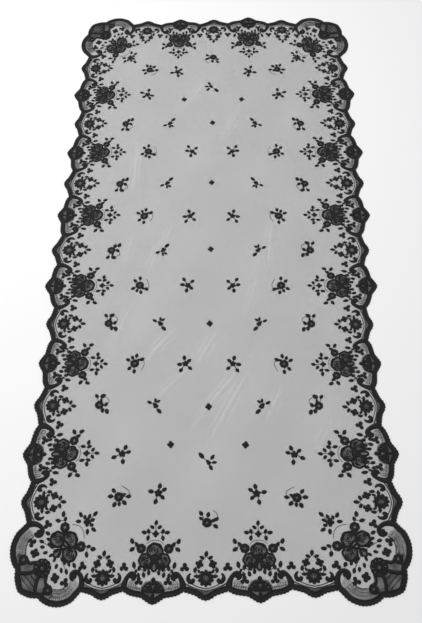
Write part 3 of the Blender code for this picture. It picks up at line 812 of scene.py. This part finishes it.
def scallop_pens(side):
    """A side's scallops in turn: whether each is large, and its pen."""
    _, (dx, dy), half, pitch, places = side
    along, inward = np.array((dx, dy)), np.array((-dy, dx))
    for place in places:
        origin = place * pitch * along - half * inward
        yield place % 2 == 1, Pen(None, origin, along * pitch / MOTIF_PITCH, inward)


def corner_pen(x_sign, y_sign):
    """A corner's pen."""
    s_scale = (HALF_WIDTH - 2 * PITCH_SHORT) / CORNER_PITCH
    t_scale = (HALF_LENGTH - 6 * PITCH_LONG) / CORNER_PITCH
    origin = (x_sign * HALF_WIDTH, y_sign * HALF_LENGTH)
    return Pen(None, origin, (-x_sign * s_scale, 0), (0, -y_sign * t_scale))


def scallop_runs(large):
    """A scallop's outer line from valley to valley, in runs between its sharp points."""
    if large:
        valley = (MOTIF_PITCH - VALLEY[0], VALLEY[1])
        knob = LARGE_OUTER[:LARGE_NOTCH + 1]
        shoulder = LARGE_OUTER[LARGE_NOTCH:] + [valley]
        return [mirrored(shoulder), mirrored(knob)[:-1] + knob, shoulder]
    half = SMALL_OUTER + [VALLEY]
    return [mirrored(half)[:-1] + half]


def corner_runs(s_first):
    """A corner's outer line without its ends, in runs between its sharp points."""
    lobe = CORNER_OUTER[:CORNER_NOTCH + 1]
    middle = CORNER_OUTER[CORNER_NOTCH:] + swapped(CORNER_OUTER[CORNER_NOTCH:-1])
    runs = [lobe, middle, swapped(lobe)]
    return runs if s_first else [run[::-1] for run in reversed(runs)]


def whole_outline():
    """The shawl's smooth outline, anticlockwise, and where each side and corner starts and ends."""
    lines, stretches = [], {}

    def walked(name, runs):
        start = sum(map(len, lines))
        lines.extend(run[:-1] for run in runs)
        stretches[name] = start, sum(map(len, lines))

    for side, following, corner in zip(SIDES, SIDES[1:] + SIDES[:1], CORNERS):
        pens = list(scallop_pens(side))
        walked(side[0], [pen.at(smooth_line(run, OUTLINE_STEP))
                         for large, pen in pens for run in scallop_runs(large)])
        name, x_sign, y_sign, s_first = corner
        runs = [corner_pen(x_sign, y_sign).at(run) for run in corner_runs(s_first)]
        _, next_pen = next(scallop_pens(following))
        runs[0] = np.vstack([pens[-1][1].at([VALLEY]), runs[0]])
        runs[-1] = np.vstack([runs[-1], next_pen.at(mirrored([VALLEY]))])
        walked(name, [smooth_line(run, OUTLINE_STEP) for run in runs])
    return np.vstack(lines), stretches


def box_middle():
    """The middle of the laid outline's box through its named points, which comes to the origin."""
    points = []
    for side, (_, x_sign, y_sign, s_first) in zip(SIDES, CORNERS):
        points += [pen.at(run) for large, pen in scallop_pens(side) for run in scallop_runs(large)]
        points += [corner_pen(x_sign, y_sign).at(run) for run in corner_runs(s_first)]
    points = shifted(np.vstack(points))
    return (points.min(0) + points.max(0)) / 2


def flat_pen(work):
    """The pen that draws in the flat cloth's own axes."""
    return Pen(work, (0, 0), (1, 0), (0, 1))


def softened(normals):
    """Normals averaged with their neighbours, so that a band turns sharp points."""
    total = sum(np.roll(normals, k, 0) for k in range(-SOFTENING, SOFTENING + 1))
    return total / np.linalg.norm(total, axis=1)[:, None]


def band(work, line, normals, along):
    """The edging's thick band over a stretch of the outline, picots along its edge."""
    insets, ups = np.array(BAND_SECTION).T
    picots = PICOT_REACH * np.abs(np.sin(np.pi * along / PICOT_PITCH))
    reach = insets - np.outer(picots, np.maximum(0, 1 - insets / PICOT_DEPTH))
    rows = line[:, None] + normals[:, None] * reach[..., None]
    heights = np.tile(CORD_BASE + BAND_RISE * ups, len(line))
    loft(flat_pen(work), rows, heights, np.dstack(np.meshgrid(insets, along)))


# The open mesh and bars of a corner's lobes, by distance from the corner and from the outer line.
LADDER_SPAN = (98, 181)  # where the mesh starts and ends
LADDER_END = 177  # where the bars end, short of the scroll
LADDER_REACH = 37.0
LADDER_ROWS = ((20.5, 0.9), (28.5, 0.9), (LADDER_REACH, 2.2))  # how far in, width
LADDER_BAR = (BAND_WIDTH - 1.5, 24, LADDER_REACH)
LADDER_STRIDE = 4  # steps of the outline from one bar to the next
ROW_STRIDE = 3  # the same from one corner of a row to the next


def lobe_ladder(work, corner, line, normals):
    """The open mesh and the fine bars between a corner lobe's band and its field."""
    places = corner.place(line[:-1])[:, 0]
    steps = np.nonzero((LADDER_SPAN[0] < places) & (places < LADDER_SPAN[1]))[0]
    barred = steps[places[steps] < LADDER_END]
    pen = flat_pen(work)

    def inside(inset, run):
        return line[run] + normals[run] * inset

    rim = steps[::LADDER_STRIDE]
    patch = np.vstack([inside(BAND_WIDTH - 1, rim), inside(LADDER_REACH, rim)[::-1]])
    filled(pen, patch, open_mesh=True)
    for inset, width in LADDER_ROWS:
        cord(pen, inside(inset, barred[::ROW_STRIDE]), width, 0.6)
    for step in barred[::LADDER_STRIDE]:
        cord(pen, [inside(inset, step) for inset in LADDER_BAR], 0.9, 0.7)


# ---- materials ----

def new_look(name, **settings):
    """A material with its tree and shader, and the shader's plain settings."""
    look = bpy.data.materials.new(name)
    look.use_nodes = True
    shader = look.node_tree.nodes["Principled BSDF"]
    for socket, value in settings.items():
        shader.inputs[socket.replace("_", " ")].default_value = value
    return look, look.node_tree, shader


def fed(tree, socket, value):
    """Sets a socket to a number or a tuple, or links it."""
    if isinstance(value, bpy.types.NodeSocket):
        tree.links.new(value, socket)
    else:
        socket.default_value = value


def node(tree, kind, *values, **settings):
    """A new node with its settings and the values of its first sockets."""
    made = tree.nodes.new("ShaderNode" + kind)
    for key, value in settings.items():
        setattr(made, key, value)
    for socket, value in zip(made.inputs, values):
        fed(tree, socket, value)
    return made


def maths(tree, operation, *values):
    """A Math node's result."""
    return node(tree, "Math", *values, operation=operation).outputs[0]


def vector_maths(tree, operation, *values):
    """A Vector Math node's result."""
    return node(tree, "VectorMath", *values, operation=operation).outputs[0]


def ranged(tree, value, from_low, from_high, to_low, to_high):
    """A value mapped from one range to another and kept within it."""
    return node(tree, "MapRange", value, from_low, from_high, to_low, to_high).outputs[0]


def noise(tree, vector, scale, output="Fac"):
    """Noise at a scale, about 0.5."""
    return node(tree, "TexNoise", vector, 0, scale).outputs[output]


def mixed(tree, share, first, second):
    """A colour between two."""
    made = node(tree, "Mix", share, data_type="RGBA")
    fed(tree, made.inputs[6], (*first, 1))
    fed(tree, made.inputs[7], (*second, 1))
    return made.outputs[2]


THREAD_EDGE = 0.035  # of a cell, over which a thread's edge fades
MESH_TINTS = (0.75, 1.3)  # the darkest and lightest threads, of the mesh's colour


def hexagon_reach(tree, vector):
    """How far a place is from its cell's middle, 0.5 on the cell's sides."""
    parts = node(tree, "SeparateXYZ", vector_maths(tree, "ABSOLUTE", vector))
    across, along = parts.outputs[:2]
    half = maths(tree, "MULTIPLY", across, 0.5)
    slanted = maths(tree, "MULTIPLY_ADD", along, math.sqrt(3) / 2, half)
    return maths(tree, "MAXIMUM", across, slanted)


def mesh_threads(tree, place, cell, thread):
    """1 on the threads of a six-sided mesh and 0 in its holes; cell and thread in millimetres."""
    cells = vector_maths(tree, "DIVIDE", place, (cell, cell * math.sqrt(3), 1))
    reaches = []
    for offset in (0.0, 0.5):
        moved = vector_maths(tree, "ADD", cells, (offset, offset, 0))
        inside = vector_maths(tree, "FRACTION", moved)
        centred = vector_maths(tree, "SUBTRACT", inside, (0.5, 0.5, 0))
        upright = vector_maths(tree, "MULTIPLY", centred, (1, math.sqrt(3), 0))
        reaches.append(hexagon_reach(tree, upright))
    reach = maths(tree, "MINIMUM", *reaches)
    # Painted highlight: along a crease's crest the threads are drawn thinner and the holes wider,
    # so the crest shows lighter.
    crease = node(tree, "Attribute", attribute_name=CREASE_LIFT).outputs["Fac"]
    half = thread / cell / 2
    half_thread = maths(tree, "MULTIPLY_ADD", crease, -CREASE_HIGHLIGHT * half, half)
    past = maths(tree, "SUBTRACT", maths(tree, "ADD", reach, half_thread), 0.5)
    return ranged(tree, past, -THREAD_EDGE, THREAD_EDGE, 0.0, 1.0)


def mesh_look(name, cell, thread, colour):
    """An open mesh: threads of one colour, no two rows quite alike, and nothing between them."""
    look, tree, shader = new_look(name, Roughness=0.7, Sheen_Weight=0.15)
    place = node(tree, "UVMap", uv_map=STITCH_MAP).outputs[0]
    wander = noise(tree, place, 0.03, "Color")
    swayed = vector_maths(tree, "ADD", place, vector_maths(tree, "MULTIPLY", wander, (1.0, 1.0, 0)))
    threads = mesh_threads(tree, swayed, cell, thread)
    dark, light = (tuple(tint * part for part in colour) for tint in MESH_TINTS)
    fed(tree, shader.inputs["Base Color"], mixed(tree, noise(tree, place, 0.05), dark, light))
    fed(tree, shader.inputs["Alpha"], maths(tree, "MULTIPLY", threads, 0.96))
    look.surface_render_method = "DITHERED"
    return look


def satin_look(name, dark, light, roughness, pitch):
    """Dense shining stitches laid side by side, a pitch apart in millimetres, with a painted sheen
    lighter on each stitch's crest.
    """
    look, tree, shader = new_look(name, Sheen_Weight=0.03, Specular_IOR_Level=0.18)
    place = node(tree, "UVMap", uv_map=STITCH_MAP).outputs[0]
    along = node(tree, "SeparateXYZ", place).outputs[1]
    even = maths(tree, "DIVIDE", along, pitch)
    count = maths(tree, "MULTIPLY_ADD", noise(tree, place, 0.9), 0.7, even)
    ridge = maths(tree, "SINE", maths(tree, "MULTIPLY", count, 2 * math.pi))
    ridge = ranged(tree, ridge, -1.0, 1.0, 0.0, 1.0)
    patchy = noise(tree, place, 0.12)
    share = maths(tree, "MULTIPLY", ridge, ranged(tree, patchy, 0.3, 0.7, 0.25, 1.0))
    rough = ranged(tree, patchy, 0.3, 0.7, roughness - 0.06, roughness + 0.1)
    # Painted highlight: the colour is lighter on each stitch's crest as painted sheen, in patches
    # of random strength, and the thread's own dark between the stitches.
    fed(tree, shader.inputs["Base Color"], mixed(tree, share, dark, light))
    fed(tree, shader.inputs["Roughness"], rough)
    bump = node(tree, "Bump", 0.7, 0.00018)  # strength, distance
    fed(tree, bump.inputs["Height"], ridge)
    fed(tree, shader.inputs["Normal"], bump.outputs[0])
    return look


# ---- the net ----

NET_STEP = 8.0  # from corner to corner of the flat net
NET_MARGIN = 36  # how far in from the large peaks' line they start
NET_INSET = 3.0  # how far in from the outline the net's own rim is
NET_RIM_STRIDE = 3  # steps of the outline from one corner of the rim to the next


def net_work(outline, normals):
    """The net as one thin sheet, fine enough for its creases."""
    corners = list((outline + normals * NET_INSET)[::NET_RIM_STRIDE])
    rim_count = len(corners)
    xs = np.arange(-HALF_WIDTH, HALF_WIDTH + NET_STEP, NET_STEP)
    ys = np.arange(-HALF_LENGTH, HALF_LENGTH + NET_STEP, NET_STEP)
    for row, y in enumerate(ys):
        for x in xs + (NET_STEP / 2 if row % 2 else 0):
            if abs(x) < HALF_WIDTH - NET_MARGIN and abs(y) < HALF_LENGTH - NET_MARGIN:
                corners.append((x, y))
    for ridge, across, _, spread in CREASE_LINES:
        for flank in CREASE_FLANKS:
            corners += list(ridge + flank * spread * across)
    places, faces = meshed(corners, rim_count)
    work = Work()
    work.add(places, np.full(len(places), NET_HEIGHT), places, faces)
    return work


# ---- building ----

# Meshes: cell, thread, colour. Stitches: dark, light (the painted sheen on the stitches' crests),
# roughness, pitch.
NET_LOOK = mesh_look("net_mesh", 1.9, 0.355, (0.020, 0.017, 0.019))
FILLING_LOOK = mesh_look("open_mesh", 4.4, 0.66, (0.016, 0.013, 0.015))
CLOSE_LOOK = mesh_look("close_mesh", 2.0, 0.86, (0.014, 0.012, 0.013))
SATIN_LOOK = satin_look("satin_stitch", (0.002, 0.0015, 0.002), (0.016, 0.013, 0.015), 0.42, 0.55)
BRAID_LOOK = satin_look("edging_braid", (0.002, 0.0015, 0.002), (0.015, 0.012, 0.014), 0.48, 0.7)

BOX_MIDDLE = box_middle()
CREASE_LINES = list(crease_lines())


# What a motif's flowers are called, and what draws its edging, flowers and leaves.
LARGE_MOTIF = ("bouquet", large_edging, large_flowers, large_leaves)
SMALL_MOTIF = ("rosette", small_edging, small_flowers, small_leaves)
CORNER_MOTIF = ("bouquet", corner_ornament, corner_flowers, corner_leaves)


def drawn(motif, pen, edging, foliage, place):
    """Draws a motif, and gives its flowers as a piece named after its place."""
    kind, *draws = motif
    flowers = Work(edging.close_mesh)
    for draw, work in zip(draws, (edging, flowers, foliage)):
        draw(pen.on(work))
    name = f"{kind}_{place}"
    return flowers.piece(name, SATIN_LOOK, "flower", name)


def stretch_pieces(owner, line, normals, along):
    """The pieces of one side or corner, on its stretch of the outline."""
    name = owner[0]
    edging, foliage = Work(Work(), Work()), Work()
    band(edging, line, normals, along)
    pieces = []
    if owner in CORNERS:
        pen = corner_pen(*owner[1:3])
        for half in pen.twins():
            lobe_ladder(edging, half, line, normals)
        pieces.append(drawn(CORNER_MOTIF, pen, edging, foliage, name))
    else:
        for number, (large, pen) in enumerate(scallop_pens(owner), 2):
            motif = LARGE_MOTIF if large else SMALL_MOTIF
            pieces.append(drawn(motif, pen, edging, foliage, f"{name}_{number // 2}"))
    return pieces + [
        edging.piece(f"edging_{name}", BRAID_LOOK, "edging", f"edging_{name}"),
        edging.open_mesh.piece(f"mesh_{name}", FILLING_LOOK, "net", smooth=False),
        edging.close_mesh.piece(f"filling_{name}", CLOSE_LOOK, "net", smooth=False),
        foliage.piece(f"leaves_{name}", SATIN_LOOK, "flower"),
    ]


def sprig_pair(work, kind, x, y, up=1, up_right=None):
    """A sprig on either side of the middle line, or the one that is near it."""
    single = x < SINGLE_SPRIG
    sprig(Pen(work, (-x, y), (up if single else 1, 0), (0, up)), kind)
    if not single:
        sprig(Pen(work, (x, y), (-1, 0), (0, up_right or up)), kind)


def field_pieces():
    """The sprigs of the field."""
    close = Work()
    stitches = Work(close)
    for kind, places in SPRIGS.items():
        for place in places:
            sprig_pair(stitches, kind, *place)
    return [
        stitches.piece("sprigs", SATIN_LOOK, "flower"),
        close.piece("sprig_filling", CLOSE_LOOK, "net", smooth=False),
    ]


def build():
    """Every piece of the shawl."""
    outline, stretches = whole_outline()
    normals = softened(normals_of(outline, closed=True))
    along = walked_along(outline)
    net = net_work(outline, normals).piece("net", NET_LOOK, "net", "net_ground")
    pieces = []
    for owner in SIDES + CORNERS:
        start, end = stretches[owner[0]]
        steps = np.arange(start, end + 1) % len(outline)
        pieces += stretch_pieces(owner, outline[steps], normals[steps], along[steps])
    pieces += field_pieces()
    area = float(signed_area(outline)) * MM * MM


# ---- the studio ----

FOCAL_LENGTH = 43.28
EYE = (0.0426, -1.2528, 1.8605)
ELEVATION = 60.80
YAW = 2.40
ROLL = -2.00
FLOOR_REACH = 30
LAMP_PLACE = (-1.2, 0.8, 3.2)


def camera():
    """The camera, where the shawl is seen from."""
    data = bpy.data.cameras.new("camera")
    data.lens = FOCAL_LENGTH
    data.sensor_width = 36
    data.clip_end = 100
    eye = linked("camera", data)
    eye.matrix_world = Matrix.Translation(Vector(EYE) - Vector((*BOX_MIDDLE, 0)) * MM)
    for angle, axis in ((YAW, "Z"), (90 - ELEVATION, "X"), (ROLL, "Z")):
        eye.matrix_world @= Matrix.Rotation(math.radians(angle), 4, axis)
    bpy.context.scene.camera = eye


def floor():
    """A plain pale floor."""
    mesh = bpy.data.meshes.new("floor")
    signs = ((-1, -1), (1, -1), (1, 1), (-1, 1))
    mesh.from_pydata([(x * FLOOR_REACH, y * FLOOR_REACH, 0) for x, y in signs], [], [[0, 1, 2, 3]])
    look, _, _ = new_look("floor_paper", Base_Color=(0.78, 0.77, 0.76, 1), Roughness=0.9,
                          Specular_IOR_Level=0.1)
    mesh.materials.append(look)
    linked("floor", mesh)


def lights():
    """Soft daylight from all round, and a large soft lamp overhead."""
    world = bpy.data.worlds.new("studio")
    bpy.context.scene.world = world
    world.use_nodes = True
    colour, strength = world.node_tree.nodes["Background"].inputs[:2]
    colour.default_value = (0.95, 0.97, 1.0, 1)
    strength.default_value = 0.62
    data = bpy.data.lights.new("overhead", "AREA")
    data.shape = "DISK"
    data.size = 2.5
    data.energy = 95
    lamp = linked("overhead", data)
    lamp.location = LAMP_PLACE
    lamp.rotation_euler = (-Vector(LAMP_PLACE)).to_track_quat("-Z", "Y").to_euler()


build()
camera()
floor()
lights()
bpy.context.scene.view_settings.view_transform = "Standard"
